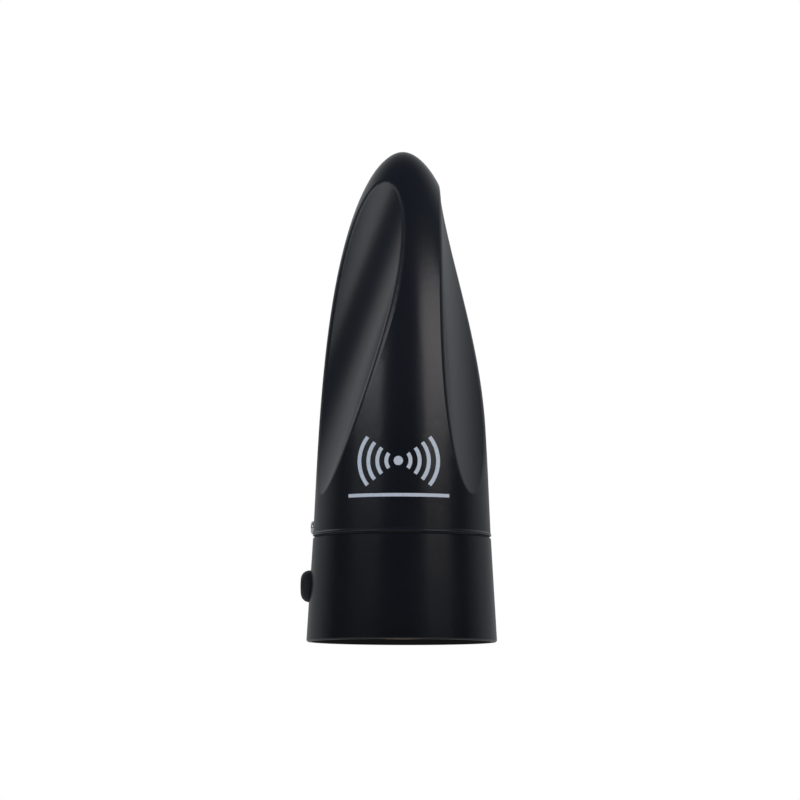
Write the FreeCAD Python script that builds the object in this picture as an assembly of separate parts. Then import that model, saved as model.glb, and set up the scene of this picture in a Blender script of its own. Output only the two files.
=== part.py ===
import FreeCAD, Part

import math
import os

# Compact omnidirectional television antenna for a boat, a camper or a mast.
# Millimetres, +Z up. The origin is the centre of the base rim, on the surface the antenna stands on.
# The printed front faces -Y, and the cable exit with its plug faces -X.

V = FreeCAD.Vector
UP = V(0, 0, 1)
ORIGIN = V(0, 0, 0)

# Overall sizes
total_height = 250.0
rim_radius = 48.1
skirt_flare = 3.13
skirt_height = 52.2
seal_thickness = 1.1
seal_inset = 0.75

# Radome: a tapered cylinder that rounds off to a blunt nose
radome_step = 0.1
foot_bead_depth = 0.25
foot_bead_height = 1.5
radome_draft = 0.0431
radome_wall = 2.4
nose_power = 3.344
nose_root = 1.9216
profile_steps = 12

# Scoops: three leaning round channels cut into the radome
scoop_count = 3
scoop_radius = 54.5
scoop_depth = 16.97
scoop_height = 150.0
scoop_azimuth = -50.8
scoop_lean = 10.5
scoop_swirl = 19.5
scoop_edge_round = 4.2

# Base skirt
skirt_wall = 2.8
rim_chamfer = 0.7
skirt_top_chamfer = 0.3
ledge_depth = 2.2
ledge_taper = 5.0
skirt_post_radius = 3.2
skirt_post_length = 26.0
skirt_web = 2.4

# Cable exit and its plug
exit_height = 28.0
exit_radius = 6.5
exit_boss_wall = 3.2
exit_boss_depth = 5.5
plug_head_lip = 1.55
plug_head_thickness = 5.9
plug_head_round = 4.3
plug_stem_length = 9.0
plug_clearance = 0.06
seat_clearance = 0.3

# Mount plate with its spigot, and the mast socket bolted under it
plate_thickness = 4.0
plate_clearance = 0.15
spigot_height = 13.8
spigot_wall = 2.6
plate_screw_gap = 0.4
radome_fit = 0.3
socket_wall = 3.0
socket_foot = 4.0
socket_throat_gap = 0.28
socket_window_width = 14.0
socket_window_height = 12.0
socket_window_sill = 1.5
socket_screw_count = 3

# Threaded mast insert, for the 1 inch - 14 thread
thread_wall_radius = 11.72
insert_wall = 2.78
insert_length = 22.0
insert_flange_lip = 2.0
insert_flange_thickness = 2.0
insert_groove_depth = 0.5

# Twist lock between radome and spigot, and its locking screw
lug_count = 3
lug_azimuth = -30.0
lug_angle = 10.0
lug_travel_angle = 20.0
lug_height = 3.0
lug_depth = 1.8
lug_level = 56.0
lug_clearance = 0.4
screw_level = 57.6
screw_radius = 1.75
screw_head_radius = 3.4
screw_head_height = 1.9
screw_length = 9.0
screw_seat_depth = 0.5

# Electronics stack inside the radome
stack_count = 3
stack_inset = 5.0
post_radius = 4.0
post_height = 5.8
pcb_thickness = 1.6
amplifier_gap = 6.5
spacer_length = 12.4
spacer_radius = 2.9
carrier_thickness = 2.5
board_fit = 0.15
small_screw_radius = 1.25
small_screw_head = 2.4
small_screw_head_height = 1.6
plate_screw_count = 4
plate_screw_length = 6.5

# F connector
f_thread_radius = 4.76
f_root_radius = 4.4
f_thread_gap = 0.4
f_bore_radius = 3.6
f_hex_width = 11.0
f_hex_thickness = 2.5
f_reach = 14.0
f_washer_thickness = 0.6
f_washer_radius = 6.3
f_nut_thickness = 2.4
f_contact_radius = 0.9
f_hole_clearance = 0.15
f_gap = 1.2

# Upright antenna boards
board_fill = 0.57
board_waist_height = 118.0
board_tab_inset = 4.0
nose_room = 28.0
copper_thickness = 0.2
copper_margin = 2.0
feed_gap = 4.0
notch_offset = 14.0
pin_radius = 0.45
pin_pitch = 6.4
holder_gap = 3.2
holder_depth = 7.0
holder_crown = 4.0

# Printed emblem: a dot with broadcast waves over a long bar
emblem_height = 88.0
emblem_thickness = 0.15
dot_radius = 2.3
wave_radii = (6.0, 10.5, 15.0, 19.5)
wave_width = 1.9
wave_half_angle = 38.0
bar_height = 71.0
bar_length = 50.0
bar_thickness = 1.7

# Levels and places that follow from the sizes above
skirt_top_radius = rim_radius - skirt_flare
radome_foot_radius = skirt_top_radius - radome_step
scoop_distance = radome_foot_radius - scoop_depth + scoop_radius
board_top = total_height - nose_room
radome_foot = skirt_height + seal_thickness
ledge_top = skirt_height - plate_thickness
spigot_top = skirt_height + spigot_height
board_level = skirt_height + post_height
board_face = board_level + pcb_thickness
carrier_level = board_face + spacer_length
carrier_face = carrier_level + carrier_thickness
plug_head_radius = exit_radius + plug_head_lip
insert_radius = thread_wall_radius + insert_wall
insert_flange_radius = insert_radius + insert_flange_lip
socket_radius = insert_radius + socket_wall
socket_throat_radius = thread_wall_radius + socket_throat_gap


def polar(radius, azimuth, z=0.0):
    """Point at an azimuth measured from the front (-Y) towards +X."""
    angle = math.radians(azimuth)
    return V(radius * math.sin(angle), -radius * math.cos(angle), z)


def disc(radius, z0, z1, centre=ORIGIN):
    return Part.makeCylinder(radius, z1 - z0, V(centre.x, centre.y, z0))


def ring(outer, inner, z0, z1, centre=ORIGIN):
    return disc(outer, z0, z1, centre).cut(disc(inner, z0, z1, centre))


def block(width, depth, z0, z1, centre=ORIGIN):
    corner = V(centre.x - width / 2, centre.y - depth / 2, z0)
    return Part.makeBox(width, depth, z1 - z0, corner)


def hexagon(width, z0, z1, centre=ORIGIN):
    corner = width / math.sqrt(3)
    points = [V(centre.x, centre.y, z0) + polar(corner, 60 * i) for i in range(7)]
    return Part.Face(Part.makePolygon(points)).extrude(V(0, 0, z1 - z0))


def turned(points):
    """Solid of revolution about Z from a closed outline of (radius, height) points."""
    outline = [V(r, 0, z) for r, z in points]
    return Part.Face(Part.makePolygon(outline + outline[:1])).revolve(ORIGIN, UP, 360)


def around(shape, count, start=0.0):
    copies = []
    for i in range(count):
        copy = shape.copy()
        copy.rotate(ORIGIN, UP, start + 360.0 * i / count)
        copies.append(copy)
    return copies


def joined(shapes):
    return shapes[0].multiFuse(shapes[1:]).removeSplitter()


def sector(outer, inner, z0, z1, azimuth, angle):
    """Part of a flat ring, centred on an azimuth."""
    corners = [V(inner, 0, z0), V(outer, 0, z0), V(outer, 0, z1), V(inner, 0, z1), V(inner, 0, z0)]
    solid = Part.Face(Part.makePolygon(corners)).revolve(ORIGIN, UP, angle)
    solid.rotate(ORIGIN, UP, azimuth - 90 - angle / 2)
    return solid


# Radome

def radome_radius(z):
    share = (z - radome_foot) / (total_height - radome_foot)
    taper = radome_foot_radius - radome_draft * (z - radome_foot)
    return taper * max(0.0, 1.0 - share ** nose_power) ** (1.0 / nose_root)


def profile_point(share, inset):
    """Point on the side line, moved inwards along the line's normal by the inset."""
    step = 0.0005
    rise = total_height - radome_foot
    below = max(share - step, 0.0)
    above = min(share + step, 1.0)
    low = V(radome_radius(radome_foot + below * rise), 0, radome_foot + below * rise)
    high = V(radome_radius(radome_foot + above * rise), 0, radome_foot + above * rise)
    z = radome_foot + share * rise
    point = V(radome_radius(z), 0, z)
    if share == 1.0:
        return point - V(0, 0, inset)
    normal = (high - low).cross(V(0, 1, 0)).normalize()
    return point + normal * inset * (-1 if normal.x > 0 else 1)


def radome_body(inset):
    """The radome's solid outer form, or the form a wall thickness inside it."""
    shares = [math.sin(math.radians(90.0 * i / profile_steps)) for i in range(profile_steps + 1)]
    points = [profile_point(share, inset) for share in shares]
    points[0].z = radome_foot
    side = Part.BSplineCurve()
    side.interpolate(Points=points, InitialTangent=V(-radome_draft, 0, 1), FinalTangent=V(-1, 0, 0))
    foot = V(0, 0, radome_foot)
    outline = [Part.LineSegment(foot, points[0]).toShape(), side.toShape()]
    outline.append(Part.LineSegment(points[-1], foot).toShape())
    return Part.Face(Part.Wire(outline)).revolve(ORIGIN, UP, 360)


def scoop_axis(z):
    """Point where the first scoop's centre line crosses a height."""
    azimuth = math.radians(scoop_azimuth)
    outward = V(math.sin(azimuth), -math.cos(azimuth), 0)
    sideways = V(math.cos(azimuth), math.sin(azimuth), 0)
    rise = z - scoop_height
    distance = scoop_distance - rise * math.tan(math.radians(scoop_lean))
    return outward * distance + sideways * (rise * math.tan(math.radians(scoop_swirl))) + UP * z


def scoop_cutters(extra):
    """The round channels that shape the radome. The extra keeps the wall even inside."""
    start = scoop_axis(-total_height)
    path = scoop_axis(2 * total_height) - start
    cutter = Part.makeCylinder(scoop_radius + extra, path.Length, start, path)
    return around(cutter, scoop_count)


def clear_radius(z):
    """Free radius inside the radome at a height, within its wall and its scoops."""
    axis = scoop_axis(z)
    floor = math.hypot(axis.x, axis.y) - scoop_radius
    return min(radome_radius(z), floor) - radome_wall


def scoop_edges(body):
    edges = []
    for face in body.Faces:
        surface = face.Surface
        if isinstance(surface, Part.Cylinder) and abs(surface.Radius - scoop_radius) < 0.001:
            edges.extend(face.Edges)
    return edges


def radome_outer():
    body = radome_body(0).cut(scoop_cutters(0))
    body = body.makeFillet(scoop_edge_round, scoop_edges(body))
    root = radome_foot_radius - radome_wall / 2
    bead = turned([(root, radome_foot), (radome_foot_radius + foot_bead_depth / 2, radome_foot),
                   (radome_foot_radius + foot_bead_depth, radome_foot + foot_bead_depth),
                   (radome_foot_radius + foot_bead_depth * 0.8, radome_foot + foot_bead_height * 0.6),
                   (radome_radius(radome_foot + foot_bead_height), radome_foot + foot_bead_height),
                   (root, radome_foot + foot_bead_height)])
    return body.fuse(bead.cut(disc(root, radome_foot, radome_foot + foot_bead_height)))


def lug(extra, azimuth, angle, height=lug_height):
    outer = radome_radius(lug_level) - radome_wall / 2
    inner = radome_radius(lug_level) - radome_wall - lug_depth - extra
    return sector(outer, inner, lug_level - extra, lug_level + height + extra, azimuth, angle)


def screw_seat():
    """Distance from the centre line to the flat under the locking screw's head."""
    return radome_radius(screw_level) - screw_seat_depth


def radome():
    shell = radome_outer().cut(radome_body(radome_wall).cut(scoop_cutters(radome_wall)))
    lugs = around(lug(0, lug_azimuth, lug_angle), lug_count)
    face = V(-screw_seat(), 0, screw_level)
    seat = Part.makeCylinder(screw_head_radius + seat_clearance, 10, face, V(-1, 0, 0))
    hole = Part.makeCylinder(screw_radius + 0.1, 10, face, V(1, 0, 0))
    return joined([shell] + lugs).cut([seat, hole])


# Base skirt, seal and plug

def skirt_radius(z):
    return rim_radius - (rim_radius - skirt_top_radius) * z / skirt_height


plate_radius = radome_radius(spigot_top) - radome_wall - radome_fit
skirt_bore = plate_radius + plate_clearance
plate_screw_radius = plate_radius - spigot_wall - small_screw_head - plate_screw_gap
amplifier_radius = plate_radius - spigot_wall - amplifier_gap
stack_radius = amplifier_radius - stack_inset
f_offset = socket_radius + f_hex_width / math.sqrt(3) + f_gap
f_foot = ledge_top - f_washer_thickness - f_nut_thickness - f_thread_gap - f_reach
socket_screw_radius = (socket_radius + socket_throat_radius) / 2


def plug_seat():
    """Distance from the centre line to the flat that the plug's head rests on."""
    lip = skirt_radius(exit_height + plug_head_radius)
    return math.sqrt(lip ** 2 - plug_head_radius ** 2) - 0.1


def skirt_post():
    """Screw post on the skirt's wall, with a web that ties it to the wall."""
    foot = ledge_top - skirt_post_length
    post = disc(skirt_post_radius, foot, ledge_top, V(plate_screw_radius, 0, 0))
    reach = skirt_radius(ledge_top) - skirt_wall / 2 - plate_screw_radius
    web = block(reach, skirt_web, foot, ledge_top, V(plate_screw_radius + reach / 2, 0, 0))
    hole = disc(small_screw_radius, ledge_top - plate_screw_length, ledge_top, V(plate_screw_radius, 0, 0))
    return post.fuse(web).cut(hole)


def base_skirt():
    chamfer_level = skirt_height - skirt_top_chamfer
    ledge_foot = ledge_top - ledge_taper
    shell = turned([
        (rim_radius - rim_chamfer, 0), (skirt_radius(rim_chamfer), rim_chamfer),
        (skirt_radius(chamfer_level), chamfer_level), (skirt_top_radius - skirt_top_chamfer, skirt_height),
        (skirt_bore, skirt_height), (skirt_bore, ledge_top), (skirt_bore - ledge_depth, ledge_top),
        (skirt_radius(ledge_foot) - skirt_wall, ledge_foot), (rim_radius - skirt_wall, 0)])
    posts = around(skirt_post(), plate_screw_count, 45)
    boss_start = plug_seat() - skirt_wall - exit_boss_depth
    boss = Part.makeCylinder(exit_radius + exit_boss_wall, exit_boss_depth + skirt_wall,
                             V(-boss_start, 0, exit_height), V(-1, 0, 0))
    hole = Part.makeCylinder(exit_radius, 40, V(-20, 0, exit_height), V(-1, 0, 0))
    seat = Part.makeCylinder(plug_head_radius + seat_clearance, 20,
                             V(-plug_seat(), 0, exit_height), V(-1, 0, 0))
    return joined([shell, boss] + posts).cut([hole, seat])


def seam_seal():
    return ring(skirt_top_radius - seal_inset, skirt_bore, skirt_height, radome_foot)


def side_plug():
    """Rubber blanking plug: a domed head and a stem with shallow grip rings."""
    stem = exit_radius - plug_clearance
    head_face = plug_seat() + plug_head_thickness
    head = Part.makeCylinder(plug_head_radius, plug_head_thickness,
                             V(-plug_seat(), 0, exit_height), V(-1, 0, 0))
    rim = [e for e in head.Edges if abs(e.BoundBox.XMin + head_face) < 0.01 and e.Closed]
    head = head.makeFillet(plug_head_round, rim)
    shaft = Part.makeCylinder(stem, plug_stem_length, V(-plug_seat() + plug_stem_length, 0, exit_height),
                              V(-1, 0, 0))
    plug = head.fuse(shaft)
    for place in (0.35, 0.65):
        groove = Part.makeTorus(stem + 0.2, 0.7, V(-plug_seat() + plug_stem_length * place, 0, exit_height),
                                V(1, 0, 0))
        plug = plug.cut(groove)
    core = Part.makeCylinder(stem - 2.2, plug_stem_length,
                             V(-plug_seat() + plug_stem_length, 0, exit_height), V(-1, 0, 0))
    return plug.cut(core).removeSplitter()


# Mount plate and mast thread

def lock_slot():
    """L-shaped way in for one lug: down from the top, then round to the locked place."""
    width = lug_angle + 2
    depth = spigot_top - lug_level
    entry = lug(lug_clearance, lug_azimuth + lug_travel_angle, width, depth)
    return entry.fuse(lug(lug_clearance, lug_azimuth + lug_travel_angle / 2, width + lug_travel_angle))


def stack_points():
    return [polar(stack_radius, 360.0 * i / stack_count) for i in range(stack_count)]


def socket_screw_points():
    return [polar(socket_screw_radius, 360.0 * i / socket_screw_count, skirt_height)
            for i in range(socket_screw_count)]


def mount_plate():
    body = [disc(plate_radius, ledge_top, skirt_height),
            ring(plate_radius, plate_radius - spigot_wall, skirt_height, spigot_top)]
    body += [disc(post_radius, skirt_height, board_level, p) for p in stack_points()]
    body.append(Part.makeCylinder(screw_head_radius, 6, V(-plate_radius + 0.4, 0, screw_level), V(1, 0, 0)))
    cuts = [disc(f_thread_radius + f_hole_clearance, ledge_top, skirt_height, V(0, f_offset, 0))]
    cuts += [disc(small_screw_radius, ledge_top + 1, board_level, p) for p in stack_points()]
    hole = disc(small_screw_radius + 0.15, ledge_top, skirt_height, V(plate_screw_radius, 0, 0))
    cuts += around(hole, plate_screw_count, 45)
    cuts += [disc(small_screw_radius + 0.15, ledge_top, skirt_height, p) for p in socket_screw_points()]
    cuts += around(lock_slot(), lug_count)
    cuts.append(Part.makeCylinder(screw_radius, 12, V(-plate_radius - 1, 0, screw_level), V(1, 0, 0)))
    return joined(body).cut(cuts)


def mast_socket():
    """Tube under the plate that holds the threaded insert, with a side window for the cable."""
    throat = socket_foot + insert_length
    tube = disc(socket_radius, socket_foot, ledge_top).cut(disc(insert_radius, socket_foot, throat))
    tube = tube.cut(disc(socket_throat_radius, throat, ledge_top))
    sill = throat + socket_window_sill
    window = block(socket_radius, socket_window_width, sill, sill + socket_window_height,
                   V(-socket_radius / 2 - 2, 0, 0))
    depth = plate_screw_length - plate_thickness
    holes = [disc(small_screw_radius, ledge_top - depth - 1, ledge_top, p) for p in socket_screw_points()]
    return tube.cut([window] + holes)


def socket_screws():
    return screws_at(socket_screw_points())


def mast_insert():
    foot = socket_foot - insert_flange_thickness
    top = socket_foot + insert_length
    body = disc(insert_radius, foot, top).fuse(disc(insert_flange_radius, foot, socket_foot))
    body = body.cut(disc(thread_wall_radius, foot, top))
    for share in (0.35, 0.7):
        level = socket_foot + share * insert_length
        body = body.cut(ring(insert_radius + 1, insert_radius - insert_groove_depth, level, level + 2))
    return body.removeSplitter()


def pan_screw(radius, head_radius, head_height, length):
    """Pan-head screw, point down, with its head's underside at the origin and a cross recess."""
    head = Part.makeCylinder(head_radius, head_height)
    crown = [e for e in head.Edges if e.Closed and e.BoundBox.ZMin > head_height - 0.01]
    head = head.makeFillet(min(head_height, head_radius) * 0.7, crown)
    screw = head.fuse(Part.makeCylinder(radius, length, ORIGIN, -UP))
    reach = head_radius * 1.1
    cross = [block(reach, head_radius * 0.25, head_height * 0.45, head_height + 1),
             block(head_radius * 0.25, reach, head_height * 0.45, head_height + 1)]
    return screw.cut(cross).removeSplitter()


def screws_at(points):
    screws = []
    for point in points:
        screw = pan_screw(small_screw_radius, small_screw_head, small_screw_head_height, plate_screw_length)
        screw.translate(point)
        screws.append(screw)
    return Part.makeCompound(screws)


def locking_screw():
    screw = pan_screw(screw_radius, screw_head_radius, screw_head_height, screw_length)
    screw.rotate(ORIGIN, V(0, 1, 0), -90)
    screw.translate(V(-screw_seat(), 0, screw_level))
    return screw


def plate_screws():
    turn = 360.0 / plate_screw_count
    places = [polar(plate_screw_radius, 45 + turn * i, skirt_height) for i in range(plate_screw_count)]
    return screws_at(places)


# F connector

def f_connector():
    """Barrel with its free thread below the nut. Above that it has the thread's root size."""
    centre = V(0, f_offset, 0)
    barrel = disc(f_thread_radius, f_foot, f_foot + f_reach, centre)
    barrel = barrel.fuse(disc(f_root_radius, f_foot + f_reach, board_level, centre))
    body = barrel.fuse(hexagon(f_hex_width, skirt_height, skirt_height + f_hex_thickness, centre))
    return body.cut(disc(f_bore_radius, f_foot, board_level, centre)).removeSplitter()


def f_insulator():
    return ring(f_bore_radius, f_contact_radius, f_foot + 1.0, board_level - 0.5, V(0, f_offset, 0))


def f_contact():
    return ring(f_contact_radius, f_contact_radius / 2, f_foot + 1.5, board_face + 0.8, V(0, f_offset, 0))


def f_washer():
    centre = V(0, f_offset, 0)
    return ring(f_washer_radius, f_root_radius + 0.1, ledge_top - f_washer_thickness, ledge_top, centre)


def f_nut():
    centre = V(0, f_offset, 0)
    top = ledge_top - f_washer_thickness
    nut = hexagon(f_hex_width, top - f_nut_thickness, top, centre)
    return nut.cut(disc(f_root_radius, top - f_nut_thickness, top, centre))


# Electronics stack

def amplifier_board():
    board = disc(amplifier_radius, board_level, board_face)
    holes = [disc(small_screw_radius + 0.15, board_level, board_face, p) for p in stack_points()]
    holes.append(disc(f_contact_radius + 0.1, board_level, board_face, V(0, f_offset, 0)))
    holes += [disc(pin_radius + 0.1, board_level, board_face, p) for p in pin_points()]
    return board.cut(holes)


def shield_can():
    height = 5.0
    can = block(20, 13, board_face, board_face + height, V(0, -14, 0))
    can = can.makeFillet(0.8, [e for e in can.Edges if e.BoundBox.ZMin > board_face - 0.01])
    return can.cut(block(19.2, 12.2, board_face, board_face + height - 0.4, V(0, -14, 0)))


def board_parts():
    """Chips, filter cans and capacitors on the amplifier board."""
    parts = []
    for x, y, width, depth, height in ((-16, 2, 7, 7, 1.4), (15, 4, 5, 6, 1.6), (-9, 13, 4, 3, 1.8),
                                       (9, 15, 4, 3, 1.8), (17, -12, 4, 6, 2.2)):
        parts.append(block(width, depth, board_face, board_face + height, V(x, y, 0)))
    for x, y in ((-12, 21), (12, 21), (-18, -14)):
        parts.append(disc(2.0, board_face, board_face + 5.0, V(x, y, 0)))
    return Part.makeCompound(parts)


def balun_core():
    tube_radius = 1.6
    centre = V(0, 14.5, board_face + tube_radius)
    return Part.makeTorus(3.4, tube_radius, centre, UP)


def board_spacers():
    spacers = []
    for point in stack_points():
        spacer = disc(spacer_radius, board_face, carrier_level, point)
        spacers.append(spacer.cut(disc(small_screw_radius, board_face, carrier_level, point)))
    return Part.makeCompound(spacers)


def pin_points():
    offset = pcb_thickness / 2 + pin_radius
    return [V(pin_pitch * (i - 1.5), -offset, 0) for i in range(4)]


def feed_pins():
    pins = [disc(pin_radius, board_level - 0.6, carrier_face + 4, p) for p in pin_points()]
    return Part.makeCompound(pins)


def carrier():
    plate = disc(amplifier_radius, carrier_level, carrier_face)
    slot_width = pcb_thickness + 2 * board_fit
    slot_length = tab_length() + 2 * board_fit
    slots = [block(slot_length, slot_width, carrier_level, carrier_face),
             block(slot_width, slot_length, carrier_level, carrier_face),
             block(26, 5, carrier_level, carrier_face)]
    holes = [disc(small_screw_radius + 0.15, carrier_level, carrier_face, p) for p in stack_points()]
    return plate.cut(slots + holes)


def carrier_screws():
    return screws_at([p + V(0, 0, carrier_face) for p in stack_points()])


def board_outline(inset):
    """Half of a board's outline, from its foot up to its top, as (half width, height) points."""
    levels = (carrier_face, board_waist_height, board_top)
    widths = [board_fill * clear_radius(z) - inset for z in levels]
    heights = (levels[0] + inset, levels[1], levels[2] - inset)
    return list(zip(widths, heights))


def tab_length():
    return 2 * (board_fill * clear_radius(carrier_face) - board_tab_inset)


def upright(outline, thickness, offset=0.0):
    """Symmetrical flat panel in the XZ plane."""
    right = [V(x, offset, z) for x, z in outline]
    left = [V(-x, offset, z) for x, z in reversed(outline)]
    face = Part.Face(Part.makePolygon(right + left + right[:1]))
    face.translate(V(0, -thickness / 2, 0))
    return face.extrude(V(0, thickness, 0))


def board_blank():
    tab = block(tab_length(), pcb_thickness, carrier_level - 0.5, carrier_face + 0.5)
    return upright(board_outline(0), pcb_thickness).fuse(tab)


def lap_slot(z0, z1):
    return block(pcb_thickness + 2 * board_fit, pcb_thickness + 2, z0, z1)


def lap_level():
    return (carrier_face + board_top) / 2


def main_board():
    return board_blank().cut(lap_slot(lap_level(), board_top + 1)).removeSplitter()


def cross_board():
    board = board_blank().cut(lap_slot(carrier_level - 1, lap_level()))
    return quarter_turn(board.removeSplitter())


def quarter_turn(shape):
    shape.rotate(ORIGIN, UP, 90)
    return shape


def radiator_halves(side):
    """Copper bow tie on one face of an upright board: two halves with a gap between them."""
    offset = side * (pcb_thickness + copper_thickness) / 2
    sheet = upright(board_outline(copper_margin), copper_thickness, offset)
    cuts = [block(2 * copper_margin + pcb_thickness, 4, 0, total_height, V(0, offset, 0))]
    cuts.append(block(2 * clear_radius(carrier_face), 4, lap_level() - feed_gap / 2, lap_level() + feed_gap / 2,
                      V(0, offset, 0)))
    for level in (0.22, 0.36, 0.64, 0.78):
        z = carrier_face + level * (board_top - carrier_face)
        for turn in (-1, 1):
            cuts.append(block(9, 4, z, z + 3, V(turn * notch_offset, offset, 0)))
    return sheet.cut(cuts)


def main_radiator():
    lifted = block(30, 4, 0, carrier_face + 6, V(0, -pcb_thickness, 0))
    return Part.makeCompound(radiator_halves(-1).cut(lifted).Solids)


def cross_radiator():
    return quarter_turn(Part.makeCompound(radiator_halves(-1).Solids))


def top_holder():
    """Soft cap pressed over the boards' upper end."""
    top = board_top + holder_crown
    radius = clear_radius(top) - holder_gap
    body = disc(radius, board_top - holder_depth, top)
    crown = [e for e in body.Edges if e.Closed and e.BoundBox.ZMin > board_top]
    body = body.makeFillet(holder_crown * 0.6, crown)
    slot = pcb_thickness + 2 * copper_thickness
    return body.cut([block(2 * radius + 2, slot, board_top - holder_depth, board_top),
                     block(slot, 2 * radius + 2, board_top - holder_depth, board_top)])


# Printed emblem on the front panel

def flat_ring(outer, inner, half_angle, side):
    """Wave mark in the XZ plane: part of a ring, open upwards and downwards."""
    whole = Part.makeCylinder(outer, 2 * rim_radius, V(0, 0, 0), V(0, -1, 0))
    whole = whole.cut(Part.makeCylinder(inner, 2 * rim_radius, V(0, 0, 0), V(0, -1, 0)))
    reach = 2 * outer
    rise = reach * math.tan(math.radians(half_angle))
    points = [V(0, 0, 0), V(side * reach, 0, rise), V(side * reach, 0, -rise), V(0, 0, 0)]
    wedge = Part.Face(Part.makePolygon(points)).extrude(V(0, -2 * rim_radius, 0))
    return whole.common(wedge)


def front_emblem():
    marks = [Part.makeCylinder(dot_radius, 2 * rim_radius, V(0, 0, 0), V(0, -1, 0))]
    for radius in wave_radii:
        for side in (-1, 1):
            half = wave_width / 2
            marks.append(flat_ring(radius + half, radius - half, wave_half_angle, side))
    marks = [m.translate(V(0, 0, emblem_height)) for m in marks]
    marks.append(Part.makeBox(bar_length, 2 * rim_radius, bar_thickness,
                              V(-bar_length / 2, -2 * rim_radius, bar_height - bar_thickness / 2)))
    film = radome_body(-emblem_thickness).cut(radome_body(0))
    return Part.makeCompound([s for m in marks for s in m.common(film).Solids])


NODES = (radome, base_skirt, seam_seal, side_plug, mount_plate, mast_socket, mast_insert, locking_screw,
         plate_screws, socket_screws, f_connector, f_insulator, f_contact, f_washer, f_nut,
         amplifier_board, shield_can, board_parts, balun_core, board_spacers, feed_pins, carrier,
         carrier_screws, main_board, cross_board, main_radiator, cross_radiator, top_holder, front_emblem)

os.makedirs("parts", exist_ok=True)
for make in NODES:
    shape = make()
    shape.exportStep("parts/" + make.__name__ + ".step")
    print(make.__name__, len(shape.Solids), round(shape.Volume, 1), shape.isValid())
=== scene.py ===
import math

import bmesh
import bpy
from mathutils import Matrix, Vector


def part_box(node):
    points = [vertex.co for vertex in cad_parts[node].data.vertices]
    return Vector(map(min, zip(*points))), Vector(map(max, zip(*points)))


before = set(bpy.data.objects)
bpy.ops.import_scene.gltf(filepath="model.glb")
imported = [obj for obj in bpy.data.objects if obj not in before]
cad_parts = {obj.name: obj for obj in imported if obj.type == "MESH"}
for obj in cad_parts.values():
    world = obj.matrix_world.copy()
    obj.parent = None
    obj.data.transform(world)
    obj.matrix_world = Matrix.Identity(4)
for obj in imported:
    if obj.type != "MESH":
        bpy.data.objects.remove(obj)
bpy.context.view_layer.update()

# Compact omnidirectional television antenna: a satin black fluted radome on a tapered base skirt.
# The printed front faces -Y and the side cable exit faces -X. Metres throughout.


# ---- Camera -------------------------------------------------------------------------------------
# A long lens a little to the right of the printed front, just below the level of the base rim, so
# that the seam and the rim both bow upwards in the middle.
camera_distance = 1.74
camera_azimuth = math.radians(2.5)
camera_level = -0.060
aim_level = 0.1226
camera_roll = math.radians(0.146)
sensor_width = 36
lens_length = 155.1
sideways_shift = -0.0029

camera_data = bpy.data.cameras.new("camera")
camera = bpy.data.objects.new("camera", camera_data)
bpy.context.scene.collection.objects.link(camera)
bpy.context.scene.camera = camera
camera.location = (camera_distance * math.sin(camera_azimuth),
                   -camera_distance * math.cos(camera_azimuth), camera_level)
aim = Vector((0, 0, aim_level)) - camera.location
camera.rotation_euler = (aim.to_track_quat("-Z", "Y").to_matrix()
                         @ Matrix.Rotation(camera_roll, 3, "Z")).to_euler()
camera_data.sensor_width = sensor_width
camera_data.lens = lens_length
camera_data.shift_x = sideways_shift
camera_data.dof.use_dof = False


# ---- Studio -------------------------------------------------------------------------------------
# A pale sweep behind the antenna, a dark space behind the camera, and three soft boxes: a strong one
# at the front right, a weaker one at the front left and a faint one at the left side.
floor_radius = 4.0
box_aim_level = 0.12

world = bpy.data.worlds.new("studio")
bpy.context.scene.world = world
world.use_nodes = True
sky = world.node_tree
sky.nodes.clear()


def sky_node(kind, **settings):
    node = sky.nodes.new(kind)
    for name, value in settings.items():
        setattr(node, name, value)
    return node


def sky_ramp(fac, stops, tint=(1, 1, 1)):
    """Brightness along a direction's share, as (place, level) stops."""
    ramp = sky_node("ShaderNodeValToRGB")
    ramp.color_ramp.interpolation = "EASE"
    while len(ramp.color_ramp.elements) < len(stops):
        ramp.color_ramp.elements.new(0.5)
    for element, (place, level) in zip(ramp.color_ramp.elements, stops):
        element.position = place
        element.color = (*(level * share for share in tint), 1)
    sky.links.new(fac, ramp.inputs["Fac"])
    return ramp.outputs["Color"]


direction = sky_node("ShaderNodeTexCoord")
split = sky_node("ShaderNodeSeparateXYZ")
sky.links.new(direction.outputs["Generated"], split.inputs[0])
depth = sky_node("ShaderNodeMapRange")
depth.inputs["From Min"].default_value = -1
sky.links.new(split.outputs["Y"], depth.inputs["Value"])
rise = sky_node("ShaderNodeMapRange")
rise.inputs["From Min"].default_value = -1
sky.links.new(split.outputs["Z"], rise.inputs["Value"])
sweep = sky_ramp(depth.outputs["Result"],
                 ((0.0, 0.0), (0.50, 0.05), (0.60, 0.50), (0.74, 1.0)))
behind = sky_ramp(rise.outputs["Result"],
                  ((0.45, 0.45), (0.56, 0.28), (0.66, 0.60), (1.0, 0.45)),
                  tint=(0.92, 0.95, 1.0))
ahead = sky_ramp(rise.outputs["Result"],
                 ((0.25, 0.9), (0.45, 0.01), (0.57, 0.03), (0.64, 0.24), (0.85, 0.25)),
                 tint=(0.62, 0.76, 1.0))
level = sky_node("ShaderNodeMix", data_type="RGBA")
sky.links.new(sweep, level.inputs["Factor"])
sky.links.new(ahead, level.inputs["A"])
sky.links.new(behind, level.inputs["B"])
seen = sky_node("ShaderNodeLightPath")
white = sky_node("ShaderNodeMix", data_type="RGBA")
sky.links.new(seen.outputs["Is Camera Ray"], white.inputs["Factor"])
sky.links.new(level.outputs["Result"], white.inputs["A"])
white.inputs["B"].default_value = (1, 1, 1, 1)
light = sky_node("ShaderNodeBackground")
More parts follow.
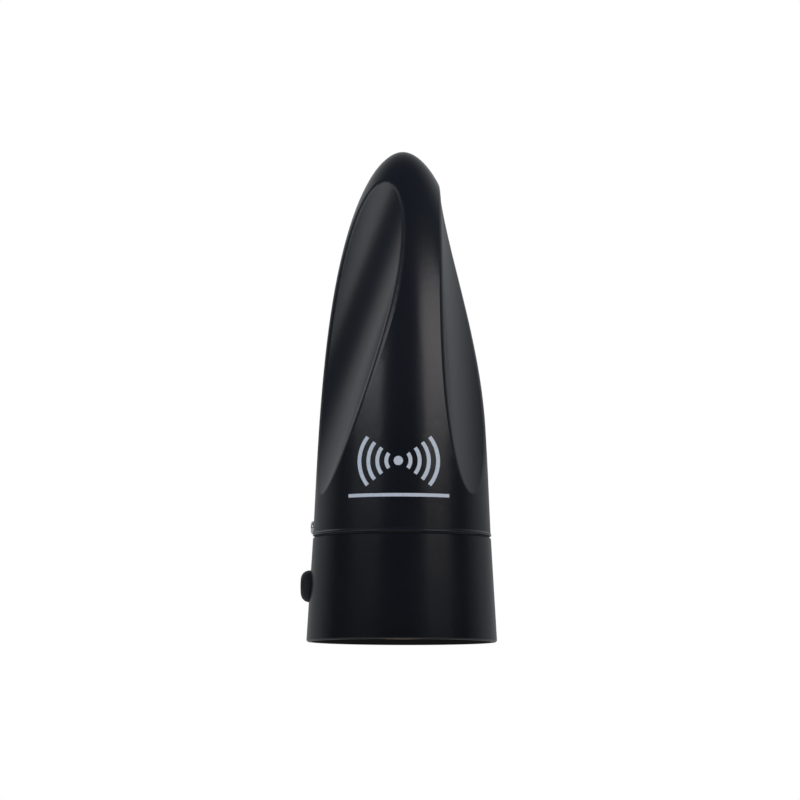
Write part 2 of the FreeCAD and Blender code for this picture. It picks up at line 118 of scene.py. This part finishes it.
sky.links.new(white.outputs["Result"], light.inputs["Color"])
sky_out = sky_node("ShaderNodeOutputWorld")
sky.links.new(light.outputs[0], sky_out.inputs[0])


def soft_box(name, azimuth, elevation, distance, width, height, power, color):
    """A rectangular light that faces the antenna's middle, from an azimuth counted from the front."""
    data = bpy.data.lights.new(name, "AREA")
    data.shape = "RECTANGLE"
    data.size = width
    data.size_y = height
    data.energy = power
    data.color = color
    box = bpy.data.objects.new(name, data)
    bpy.context.scene.collection.objects.link(box)
    a, e = math.radians(azimuth), math.radians(elevation)
    away = Vector((math.sin(a) * math.cos(e), -math.cos(a) * math.cos(e), math.sin(e)))
    middle = Vector((0, 0, box_aim_level))
    box.location = middle + away * distance
    box.rotation_euler = (-away).to_track_quat("-Z", "Y").to_euler()


soft_box("key_box", 50, 20, 1.06, 0.66, 0.36, 1.85, (1.0, 0.94, 0.93))
soft_box("fill_box", -46, 21, 1.06, 0.74, 0.32, 1.55, (0.93, 0.96, 1.0))
soft_box("side_box", -114, 27, 1.10, 0.50, 0.40, 0.22, (0.96, 0.98, 1.0))

bpy.context.scene.view_settings.view_transform = "Standard"

floor_mesh = bmesh.new()
bmesh.ops.create_circle(floor_mesh, cap_ends=True, segments=96, radius=floor_radius)
floor_data = bpy.data.meshes.new("floor")
floor_mesh.to_mesh(floor_data)
floor_mesh.free()
floor = bpy.data.objects.new("floor", floor_data)
bpy.context.scene.collection.objects.link(floor)

# The floor is pale card seen from above. Its underside is clear, as a glass table's is.
floor_card = bpy.data.materials.new("floor_card")
floor_card.use_nodes = True
card = floor_card.node_tree
card_shader = card.nodes["Principled BSDF"]
card_shader.inputs["Base Color"].default_value = (0.86, 0.86, 0.86, 1)
card_shader.inputs["Roughness"].default_value = 0.8
card_shader.inputs["Emission Color"].default_value = (1, 1, 1, 1)
card_shader.inputs["Emission Strength"].default_value = 0.2
card_clear = card.nodes.new("ShaderNodeBsdfTransparent")
card_side = card.nodes.new("ShaderNodeNewGeometry")
card_mix = card.nodes.new("ShaderNodeMixShader")
card.links.new(card_side.outputs["Backfacing"], card_mix.inputs[0])
card.links.new(card_shader.outputs[0], card_mix.inputs[1])
card.links.new(card_clear.outputs[0], card_mix.inputs[2])
card.links.new(card_mix.outputs[0], card.nodes["Material Output"].inputs[0])
floor_data.materials.append(floor_card)


# ---- Radome -------------------------------------------------------------------------------------
# The tall cover with three leaning flutes, injection moulded in black ASA with a fine satin grain
# from its mould. It twists onto the mount plate's spigot and is locked there by one screw.

class Finish:
    """One material, with a short call for each node that its pattern needs."""

    def __init__(self, name):
        self.material = bpy.data.materials.new(name)
        self.material.use_nodes = True
        self.tree = self.material.node_tree
        self.shader = self.tree.nodes["Principled BSDF"]
        self.place = self.add("ShaderNodeTexCoord").outputs["Object"]

    def add(self, kind, inputs=(), **settings):
        node = self.tree.nodes.new(kind)
        for name, value in settings.items():
            setattr(node, name, value)
        for socket, value in dict(inputs).items():
            self.put(node.inputs[socket], value)
        return node

    def put(self, socket, value):
        """Sets a socket to a fixed value, or links it to another node's output."""
        if isinstance(value, bpy.types.NodeSocket):
            self.tree.links.new(value, socket)
        elif isinstance(value, tuple) and socket.type == "RGBA":
            socket.default_value = (*value, 1)
        else:
            socket.default_value = value

    def moved(self, scale=(1, 1, 1), turn=(0, 0, 0)):
        """Object coordinates, stretched or turned for one pattern."""
        node = self.add("ShaderNodeMapping", {"Vector": self.place, "Scale": scale,
                                              "Rotation": turn})
        return node.outputs["Vector"]

    def noise(self, scale, detail=4.0, rough=0.6, place=None):
        node = self.add("ShaderNodeTexNoise", {"Vector": place or self.place, "Scale": scale,
                                               "Detail": detail, "Roughness": rough})
        return node.outputs["Fac"]

    def cells(self, scale, output="Distance", place=None):
        node = self.add("ShaderNodeTexVoronoi", {"Vector": place or self.place, "Scale": scale})
        return node.outputs[output]

    def waves(self, scale, direction, bend):
        node = self.add("ShaderNodeTexWave", {"Vector": self.place, "Scale": scale,
                                              "Distortion": bend}, bands_direction=direction)
        return node.outputs["Fac"]

    def height(self):
        return self.add("ShaderNodeSeparateXYZ", {"Vector": self.place}).outputs["Z"]

    def spread(self, source, low, high, start=0.3, end=0.7):
        node = self.add("ShaderNodeMapRange", {"Value": source, "From Min": start, "From Max": end,
                                               "To Min": low, "To Max": high})
        return node.outputs["Result"]

    def maths(self, operation, first, second):
        node = self.add("ShaderNodeMath", {0: first, 1: second}, operation=operation)
        return node.outputs[0]

    def mixed(self, share, first, second):
        node = self.add("ShaderNodeMix", {"Factor": share}, data_type="RGBA")
        self.put(node.inputs["A"], first)
        self.put(node.inputs["B"], second)
        return node.outputs["Result"]

    def relief(self, *layers):
        """Bump from (height, strength, depth in metres) layers, finest last."""
        normal = None
        for height, strength, depth in layers:
            node = self.add("ShaderNodeBump", {"Height": height, "Strength": strength,
                                               "Distance": depth})
            if normal:
                self.put(node.inputs["Normal"], normal)
            normal = node.outputs["Normal"]
        self.put(self.shader.inputs["Normal"], normal)

    def give(self, **values):
        for name, value in values.items():
            self.put(self.shader.inputs[name.replace("_", " ")], value)
        return self


def dress(finish, *nodes):
    """Gives carried-over CAD nodes their finish."""
    for node in nodes:
        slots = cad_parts[node].data.materials
        slots.clear()
        slots.append(finish.material)


def moulded_black(name, shade, roughness, grain=0.1):
    """Satin black plastic: fine mould grain, faint flow and handling marks, a little dust."""
    finish = Finish(name)
    patches = finish.noise(26, detail=5)
    wipes = finish.noise(70, detail=6, place=finish.moved(scale=(3, 3, 0.3)))
    specks = finish.spread(finish.noise(900, detail=6, rough=0.8), 0, 1, 0.66, 0.74)
    scuffs = finish.spread(finish.noise(140, detail=3, place=finish.moved((6, 6, 0.6), (0.4, 0.7, 0))),
                           0, 1, 0.70, 0.78)
    paler = tuple(value * 1.6 for value in shade)
    body = finish.mixed(finish.spread(patches, 0, 1), shade, paler)
    dusty = finish.mixed(finish.maths("MULTIPLY", specks, 0.03), body, (0.2, 0.2, 0.2))
    uneven = finish.maths("ADD", finish.spread(patches, -0.012, 0.016), finish.spread(wipes, -0.006, 0.01))
    marked = finish.maths("ADD", uneven, finish.maths("MULTIPLY", scuffs, 0.04))
    finish.relief((finish.noise(60, detail=2), 0.05, 0.0004),
                  (finish.noise(2200, detail=3), grain, 0.00008))
    return finish.give(Base_Color=dusty, Roughness=finish.maths("ADD", marked, roughness), IOR=1.5)


dress(moulded_black("radome_satin", (0.0022, 0.0030, 0.0050), 0.245), "radome")


# ---- Printed emblem -----------------------------------------------------------------------------
# A generic broadcast sign and a bar in silver-grey ink, pad printed on the front land between two
# flutes. The ink is thin, so the plastic's grain shows through it in pinholes.
ink = Finish("print_ink")
pinholes = ink.spread(ink.noise(5200, detail=2), 0, 1, 0.64, 0.70)
streaks = ink.spread(ink.noise(800, detail=4), 0, 1)
ink_shade = ink.mixed(streaks, (0.74, 0.80, 0.88), (0.84, 0.89, 0.95))
ink.relief((ink.noise(2200, detail=3), 0.12, 0.00006))
ink.give(Base_Color=ink.mixed(pinholes, ink_shade, (0.02, 0.022, 0.026)),
         Roughness=ink.spread(streaks, 0.42, 0.55, 0, 1))
dress(ink, "front_emblem")


# ---- Locking screw ------------------------------------------------------------------------------
# One stainless pan-head screw through the radome's foot into the spigot, against the wet.

def turned_metal(name, shade, dark, roughness, line_scale):
    """Bare metal: fine tool lines, faint stains and small bright rubs."""
    finish = Finish(name)
    stains = finish.noise(160, detail=6)
    lines = finish.noise(line_scale, detail=3, place=finish.moved((0.15, 0.15, 6)))
    rubs = finish.spread(finish.noise(420, detail=3), 0, 1, 0.6, 0.75)
    colour = finish.mixed(finish.spread(stains, 0, 1, 0.35, 0.75), shade, dark)
    uneven = finish.maths("ADD", finish.spread(stains, -0.05, 0.09), finish.maths("MULTIPLY", rubs, -0.05))
    finish.relief((lines, 0.12, 0.00006))
    return finish.give(Base_Color=colour, Metallic=1.0,
                       Roughness=finish.maths("ADD", uneven, roughness))


dress(turned_metal("bright_stainless", (0.62, 0.61, 0.59), (0.45, 0.44, 0.42), 0.2, 1500), "locking_screw")


# ---- Seam seal ----------------------------------------------------------------------------------
# A flat ring of soft black rubber, squeezed between the radome's foot and the skirt's top.

def soft_rubber(name, shade, roughness, bloom):
    """Matt rubber with a powdery bloom and a fine orange-peel skin."""
    finish = Finish(name)
    skin = finish.noise(1300, detail=4)
    powder = finish.spread(finish.noise(240, detail=7, rough=0.7), 0, bloom, 0.45, 0.75)
    colour = finish.mixed(powder, shade, (0.09, 0.09, 0.092))
    finish.relief((finish.noise(300, detail=3), 0.08, 0.0002), (skin, 0.2, 0.00008))
    finish.give(Base_Color=colour, Roughness=finish.spread(skin, roughness - 0.06, roughness + 0.08))
    return finish.give(Specular_IOR_Level=0.35)


dress(soft_rubber("seal_rubber", (0.006, 0.006, 0.0065), 0.7, 0.15), "seam_seal")


# ---- Base skirt ---------------------------------------------------------------------------------
# The tapered foot in the same black plastic, open below, with a bossed hole for the side cable exit.
dress(moulded_black("skirt_satin", (0.0018, 0.0024, 0.0042), 0.225), "base_skirt")


# ---- Side plug ----------------------------------------------------------------------------------
# A rubber blanking plug with a domed head, pushed into the cable exit while the cable leaves below.
dress(soft_rubber("plug_rubber", (0.005, 0.005, 0.0055), 0.55, 0.12), "side_plug")


# ---- Mount plate and mast socket ----------------------------------------------------------------
# Glass-filled black nylon: matt, with short pale fibres lying just under its skin.
nylon = Finish("filled_nylon")
fibres = nylon.cells(900, place=nylon.moved((1, 1, 0.16), (0.5, 0.3, 0)))
fibre_marks = nylon.spread(fibres, 1, 0, 0.05, 0.16)
nylon_flow = nylon.noise(45, detail=5, place=nylon.moved((1, 1, 0.4)))
nylon_body = nylon.mixed(nylon.spread(nylon_flow, 0, 1), (0.010, 0.010, 0.0105), (0.019, 0.019, 0.020))
nylon.relief((nylon_flow, 0.1, 0.0003), (nylon.noise(1500, detail=4), 0.25, 0.0001))
nylon.give(Base_Color=nylon.mixed(nylon.maths("MULTIPLY", fibre_marks, 0.25), nylon_body, (0.08, 0.08, 0.08)),
           Roughness=nylon.spread(nylon_flow, 0.5, 0.66))
dress(nylon, "mount_plate", "mast_socket")


# ---- Screws inside ------------------------------------------------------------------------------
# Small zinc-plated pan-head screws that hold the plate, the socket and the board carrier.
dress(turned_metal("zinc_plate", (0.55, 0.56, 0.58), (0.36, 0.37, 0.38), 0.32, 2400),
      "plate_screws", "socket_screws", "carrier_screws")


# ---- Mast insert --------------------------------------------------------------------------------
# Turned brass bush with the standard marine 1 inch - 14 thread, pressed up into the socket.
brass = turned_metal("turned_brass", (0.62, 0.42, 0.16), (0.36, 0.22, 0.09), 0.28, 1800)
dress(brass, "mast_insert")


# ---- F connector --------------------------------------------------------------------------------
# Nickel-plated bulkhead F socket with its hex flange above the plate, washer and nut below it.
nickel = turned_metal("bright_nickel", (0.66, 0.63, 0.57), (0.48, 0.45, 0.40), 0.2, 2600)
dress(nickel, "f_connector", "f_nut", "f_washer")

# Its white plastic core holds a sprung bronze contact.
core = Finish("white_insulator")
core_mottle = core.noise(700, detail=4)
core.relief((core_mottle, 0.1, 0.0001))
core_shade = core.mixed(core.spread(core_mottle, 0, 1), (0.72, 0.71, 0.68), (0.80, 0.79, 0.77))
core.give(Base_Color=core_shade, Roughness=core.spread(core_mottle, 0.35, 0.5),
          Subsurface_Weight=0.1, Subsurface_Radius=(0.002, 0.002, 0.002))
dress(core, "f_insulator")
dress(turned_metal("contact_bronze", (0.72, 0.50, 0.26), (0.50, 0.33, 0.16), 0.25, 3000), "f_contact")


# ---- Amplifier board ----------------------------------------------------------------------------
# Round two-sided board under green solder mask, with its tracks raised a little under the mask.
mask = Finish("green_solder_mask")
track_grid = mask.add("ShaderNodeTexBrick", {
    "Vector": mask.moved(turn=(0, 0, 0.785)), "Scale": 190.0, "Mortar Size": 0.09, "Mortar Smooth": 0.3,
    "Color1": (0, 0, 0), "Color2": (0, 0, 0), "Mortar": (1, 1, 1)})
tracks = track_grid.outputs["Fac"]
vias = mask.spread(mask.cells(260), 1, 0, 0.10, 0.14)
mask_shade = mask.mixed(tracks, (0.006, 0.050, 0.018), (0.012, 0.095, 0.036))
mask.relief((tracks, 0.3, 0.00005), (mask.noise(900, detail=3), 0.06, 0.0001))
mask.give(Base_Color=mask.mixed(vias, mask_shade, (0.50, 0.46, 0.38)), Metallic=vias,
          Roughness=mask.spread(mask.noise(120), 0.22, 0.34))
dress(mask, "amplifier_board")

# Folded tinned can, soldered over the amplifier's first stage.
tin = Finish("hot_tinned_steel")
spangle = tin.cells(420, output="Color")
spangle_tone = tin.add("ShaderNodeSeparateColor", {"Color": spangle}).outputs[0]
tin_stain = tin.noise(210, detail=6)
tin.relief((tin.noise(500, detail=4), 0.12, 0.0001))
tin_roughness = tin.maths("ADD", tin.spread(spangle_tone, 0.22, 0.36, 0, 1),
                          tin.spread(tin_stain, -0.03, 0.08))
tin.give(Base_Color=tin.mixed(spangle_tone, (0.52, 0.53, 0.53), (0.66, 0.66, 0.65)), Metallic=1.0,
         Roughness=tin_roughness)
dress(tin, "shield_can")

# Chips in black epoxy and upright capacitors with bare aluminium tops.
parts = Finish("component_bodies")
tallest_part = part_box("board_parts")[1][2]
can_top = parts.spread(parts.height(), 0, 1, tallest_part - 0.00035, tallest_part - 0.00025)
epoxy = parts.mixed(parts.spread(parts.noise(900, detail=4), 0, 1),
                    (0.012, 0.012, 0.013), (0.024, 0.024, 0.026))
parts.relief((parts.noise(2500, detail=3), 0.2, 0.00005))
parts.give(Base_Color=parts.mixed(can_top, epoxy, (0.6, 0.6, 0.61)), Metallic=can_top,
           Roughness=parts.spread(can_top, 0.6, 0.28, 0, 1))
dress(parts, "board_parts")

# Ferrite ring of the balun.
ferrite = Finish("sintered_ferrite")
grains = ferrite.cells(2600)
ferrite.relief((grains, 0.3, 0.00008))
ferrite_shade = ferrite.mixed(ferrite.spread(grains, 0, 1, 0.1, 0.6),
                              (0.016, 0.016, 0.017), (0.045, 0.045, 0.048))
ferrite.give(Base_Color=ferrite_shade, Roughness=ferrite.spread(grains, 0.38, 0.62, 0.1, 0.6))
dress(ferrite, "balun_core")


# ---- Carrier and upright boards -----------------------------------------------------------------
# White moulded spacers and carrier that lift the crossed antenna boards clear of the amplifier.
abs_white = Finish("natural_abs")
abs_flow = abs_white.noise(90, detail=5)
abs_white.relief((abs_white.noise(1600, detail=3), 0.12, 0.00008))
abs_shade = abs_white.mixed(abs_white.spread(abs_flow, 0, 1), (0.60, 0.58, 0.52), (0.70, 0.68, 0.62))
abs_white.give(Base_Color=abs_shade, Roughness=abs_white.spread(abs_flow, 0.36, 0.5))
dress(abs_white, "carrier", "board_spacers")

# Bare glass-epoxy laminate: the woven cloth shows as a fine cross weave.
laminate = Finish("glass_laminate")
warp = laminate.waves(260, "Z", bend=0.6)
weft = laminate.maths("ADD", laminate.waves(260, "X", bend=0.6), laminate.waves(260, "Y", bend=0.6))
weave = laminate.maths("MULTIPLY", warp, weft)
laminate_tone = laminate.spread(laminate.noise(60), 0, 1)
laminate.relief((weave, 0.1, 0.00006))
resin = laminate.mixed(laminate_tone, (0.30, 0.31, 0.12), (0.36, 0.36, 0.16))
laminate.give(Base_Color=laminate.mixed(laminate.spread(weave, 0, 1, 0, 1.4), resin, (0.48, 0.47, 0.25)),
              Roughness=laminate.spread(weave, 0.3, 0.5, 0, 1.4))
dress(laminate, "main_board", "cross_board")

# Etched copper, dulled in patches where it was handled.
copper = turned_metal("etched_copper", (0.78, 0.40, 0.26), (0.44, 0.20, 0.12), 0.3, 900)
dress(copper, "main_radiator", "cross_radiator")
dress(turned_metal("tinned_pins", (0.64, 0.63, 0.60), (0.48, 0.47, 0.44), 0.25, 2000), "feed_pins")

# Cap of soft grey foam that steadies the boards' upper ends inside the nose.
foam = Finish("closed_cell_foam")
pores = foam.cells(1500)
foam.relief((pores, 0.6, 0.0003), (foam.noise(400), 0.2, 0.0003))
# Its colour is darker towards the middle of each pore: painted shade in the pits.
foam.give(Base_Color=foam.mixed(foam.spread(pores, 0, 1, 0.1, 0.6), (0.05, 0.05, 0.052), (0.14, 0.14, 0.145)),
          Roughness=foam.spread(pores, 0.8, 0.95, 0.1, 0.6), Sheen_Weight=0.2)
dress(foam, "top_holder")
